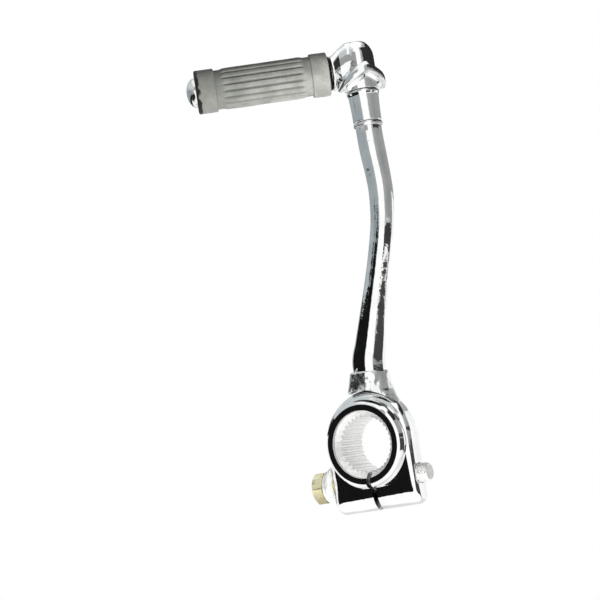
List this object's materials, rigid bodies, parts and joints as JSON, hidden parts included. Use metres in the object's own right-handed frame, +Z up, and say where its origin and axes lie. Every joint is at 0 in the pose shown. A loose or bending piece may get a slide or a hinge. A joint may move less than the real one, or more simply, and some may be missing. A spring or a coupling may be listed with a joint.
{
  "type": "gear shift lever",
  "caption": "Motorcycle gear shift lever: splined pinch clamp, bent round arm and a folding pedal with a ribbed rubber sleeve.",
  "frame": {"origin": "on the axis of the splined bore, 11.5 mm behind the clamp's front face and 9.5 mm before its back face", "axes": "+Z up the arm from the clamp to the pedal; -Y out of the front (outer) face along the shaft axis; +X towards the threaded ear"},
  "size_m": [0.0721, 0.0586, 0.1955],
  "materials": {
    "chrome": "bright plated, mirror-like",
    "weld": "plated weld, slightly lumpy",
    "steel": "turned steel",
    "spring_steel": "dark drawn wire",
    "bronze": "sintered bronze",
    "rubber": "matte moulded rubber",
    "black_ring": "matte black",
    "bright_screw": "bright zinc plated",
    "yellow_zinc": "pale yellow passivated zinc",
    "grey_zinc": "grey zinc"
  },
  "bodies": {
    "lever": {"clamp_boss": "chrome", "arm_bar": "chrome", "root_weld": "weld", "spring_housing": "chrome", "upper_weld_ring": "weld", "cam_collar": "chrome", "pivot_bush": "bronze", "spring_top_washer": "steel", "detent_spring": "spring_steel", "pinch_bolt": "yellow_zinc", "plain_washer": "grey_zinc", "lock_washer": "grey_zinc"},
    "lift_carrier": {"spring_seat": "steel"},
    "pedal": {"pedal_knuckle": "chrome", "pivot_pin": "steel", "cross_pin": "steel", "pin_nut": "steel", "inner_ring": "black_ring", "rubber_sleeve": "rubber", "end_washer": "black_ring", "end_screw": "bright_screw"}
  },
  "joints": [
    {"name": "boss_lift", "type": "slide", "parent": "lever", "child": "lift_carrier", "axis": [0, 0, 1], "range_m": [0, 0.0047], "deforming": ["detent_spring"]},
    {"name": "pedal_fold", "type": "hinge", "parent": "lift_carrier", "child": "pedal", "pos_m": [0.0221, -0.0025, 0.155], "axis": [0, 0, -1], "range_deg": [0, 65], "stiffness_Nm_per_rad": 0.15, "springref_deg": -45.84}
  ],
  "couplings": [
    {"joint": "boss_lift", "follows": "pedal_fold", "m_per_rad": 0.0040744}
  ]
}
